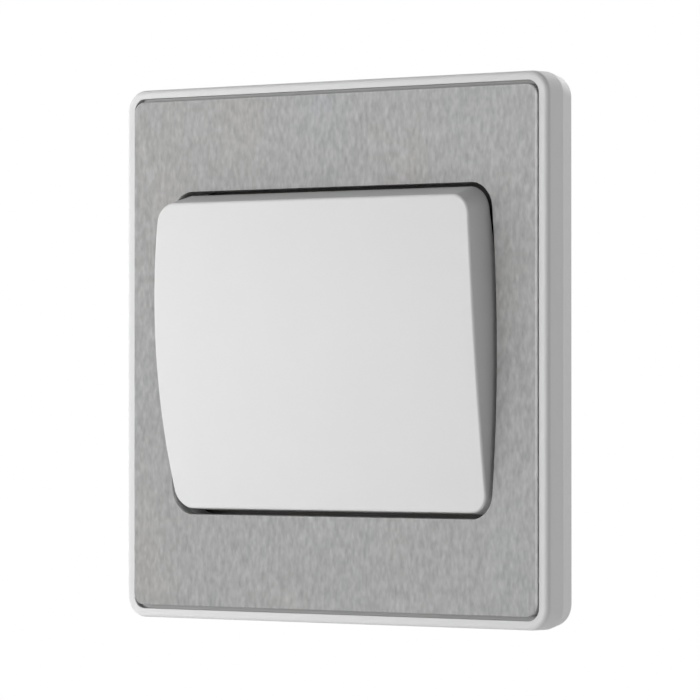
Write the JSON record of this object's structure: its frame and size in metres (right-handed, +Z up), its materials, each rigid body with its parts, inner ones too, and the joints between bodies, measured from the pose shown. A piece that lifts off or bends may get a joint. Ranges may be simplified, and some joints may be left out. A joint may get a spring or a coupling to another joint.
{
  "type": "wide rocker light switch",
  "caption": "Square wall light switch with a white frame, a brushed steel fascia and one wide white rocker, over a steel yoke and a changeover contact module.",
  "frame": {"origin": "midway between the two wall fixing holes, on the wall plane", "axes": "+Z up, +X right as seen from the room, +Y into the wall"},
  "size_m": [0.095, 0.0342, 0.095],
  "materials": {
    "white_moulding": "satin moulded",
    "rocker_white": "satin moulded",
    "brushed_fascia": "brushed",
    "inner_white": "matt moulded",
    "spring_wire": "drawn wire",
    "zinc_plate": "bright zinc plated",
    "module_grey": "matt moulded",
    "screw_steel": "plated",
    "copper_alloy": "rolled strip",
    "contact_silver": "polished",
    "terminal_brass": "turned"
  },
  "bodies": {
    "housing": {"outer_frame": "white_moulding", "steel_fascia": "brushed_fascia", "mounting_yoke": "zinc_plate", "module_cover": "module_grey", "module_base": "module_grey", "module_screws": "screw_steel", "fixed_contacts": "contact_silver", "com_fulcrum": "copper_alloy", "l1_contact_strip": "copper_alloy", "l2_contact_strip": "copper_alloy", "com_terminal": "terminal_brass", "l1_terminal": "terminal_brass", "l2_terminal": "terminal_brass", "terminal_screws": "screw_steel", "earth_terminal": "terminal_brass", "earth_screw": "screw_steel"},
    "rocker": {"rocker_cap": "rocker_white", "dolly": "inner_white", "plunger_spring": "spring_wire"},
    "plunger": {"plunger": "inner_white"},
    "contact": {"contact_bridge": "copper_alloy", "moving_contacts": "contact_silver"}
  },
  "joints": [
    {"name": "rocker_pivot", "type": "hinge", "parent": "housing", "child": "rocker", "pos_m": [0, -0.00485, 0], "axis": [1, 0, 0], "range_deg": [-11.4, 0]},
    {"name": "contact_tilt", "type": "hinge", "parent": "housing", "child": "contact", "pos_m": [0, 0.00607, 0], "axis": [1, 0, 0], "range_deg": [0, 14]},
    {"name": "plunger_slide", "type": "slide", "parent": "rocker", "child": "plunger", "axis": [0, -0.9951, -0.0993], "range_m": [0, 0.0011], "stiffness_N_per_m": 400, "springref_m": -0.002, "deforming": ["plunger_spring"]}
  ],
  "couplings": [
    {"joint": "contact_tilt", "follows": "rocker_pivot", "ratio": -1.228}
  ]
}
